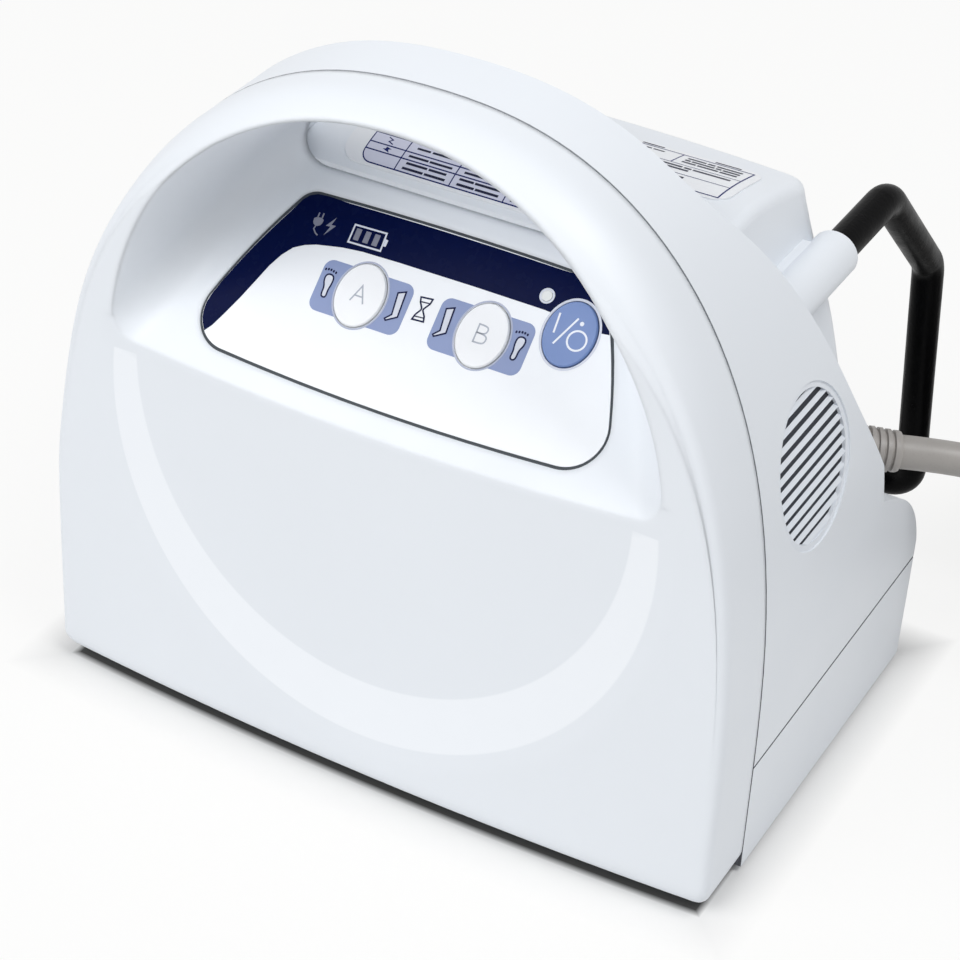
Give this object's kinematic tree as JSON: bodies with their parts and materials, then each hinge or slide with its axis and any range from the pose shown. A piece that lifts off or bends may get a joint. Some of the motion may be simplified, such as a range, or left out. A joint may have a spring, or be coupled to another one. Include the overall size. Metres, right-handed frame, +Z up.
{
  "type": "compression therapy pump",
  "caption": "Portable pump for inflatable leg cuffs: arched handle over a sloped key panel, side vents, sliding wire bed hook and a mains lead.",
  "frame": {"origin": "on the standing surface, under the middle of the pump with its hook stored", "axes": "+Z up, -Y towards the user who faces the key panel, +X to that user's right, the side of the mains lead"},
  "size_m": [0.3191, 0.2568, 0.1837],
  "materials": {
    "housing_white": "fine satin moulded ABS",
    "grille_white": "satin moulded ABS",
    "panel_navy": "smooth printed polycarbonate film",
    "gasket_grey": "soft seal",
    "key_white": "satin oval key",
    "key_blue": "satin oval key",
    "label_film": "printed film",
    "lamp_clear": "clear light pipe",
    "hook_black": "black dipped steel rod",
    "foot_rubber": "moulded rubber",
    "cord_grey": "round PVC lead",
    "plug_grey": "moulded PVC with metal blades",
    "port_blue": "moulded nipple block",
    "board_green": "glass-filled laminate",
    "switch_black": "moulded tact switch",
    "pump_alloy": "die-cast",
    "steel": "turned steel",
    "inner_plastic": "moulded plastic",
    "mount_rubber": "soft grommet",
    "battery_wrap": "shrink-wrapped cells"
  },
  "bodies": {
    "housing": {"front_cover": "housing_white", "rear_housing": "housing_white", "base_tray": "housing_white", "battery_door": "housing_white", "foot_front_left": "foot_rubber", "foot_front_right": "foot_rubber", "foot_rear_left": "foot_rubber", "foot_rear_right": "foot_rubber", "vent_grille_right": "grille_white", "vent_grille_left": "grille_white", "panel_overlay": "panel_navy", "panel_gasket": "gasket_grey", "panel_carrier": "inner_plastic", "display_board": "board_green", "switch_a": "switch_black", "switch_b": "switch_black", "power_switch": "switch_black", "status_lamp": "lamp_clear", "label_plate": "label_film", "rear_label": "label_film", "strain_relief": "cord_grey", "mains_cord": "cord_grey", "cord_coil": "cord_grey", "mains_plug": "plug_grey", "air_port_a": "port_blue", "air_port_b": "port_blue", "valve_manifold": "inner_plastic", "valve_coil_1": "steel", "valve_coil_2": "steel", "valve_coil_3": "steel", "valve_coil_4": "steel", "valve_coil_5": "steel", "valve_coil_6": "steel", "pump_bracket": "steel", "motor_can": "steel", "pump_block": "pump_alloy", "pump_head": "pump_alloy", "pump_mount_1": "mount_rubber", "pump_mount_2": "mount_rubber", "pump_mount_3": "mount_rubber", "pump_mount_4": "mount_rubber", "battery_pack": "battery_wrap", "power_supply": "inner_plastic", "main_board": "board_green", "buzzer": "switch_black"},
    "button_a": {"button_a": "key_white"},
    "button_b": {"button_b": "key_white"},
    "power_button": {"power_button": "key_blue"},
    "bed_hook": {"bed_hook": "hook_black"},
    "motor_shaft": {"motor_shaft": "steel"}
  },
  "joints": [
    {"name": "button_a_press", "type": "slide", "parent": "housing", "child": "button_a", "axis": [0, 0.6639, -0.7478], "range_m": [0, 0.0008], "stiffness_N_per_m": 2500, "springref_m": -0.0002},
    {"name": "button_b_press", "type": "slide", "parent": "housing", "child": "button_b", "axis": [0, 0.6639, -0.7478], "range_m": [0, 0.0008], "stiffness_N_per_m": 2500, "springref_m": -0.0002},
    {"name": "power_button_press", "type": "slide", "parent": "housing", "child": "power_button", "axis": [0, 0.6639, -0.7478], "range_m": [0, 0.0008], "stiffness_N_per_m": 2500, "springref_m": -0.0002},
    {"name": "hook_slide", "type": "slide", "parent": "housing", "child": "bed_hook", "axis": [0, 1, 0], "range_m": [0, 0.02]},
    {"name": "motor_turn", "type": "hinge", "parent": "housing", "child": "motor_shaft", "pos_m": [0.044, -0.0323, 0.04], "axis": [1, 0, 0], "continuous": true}
  ]
}
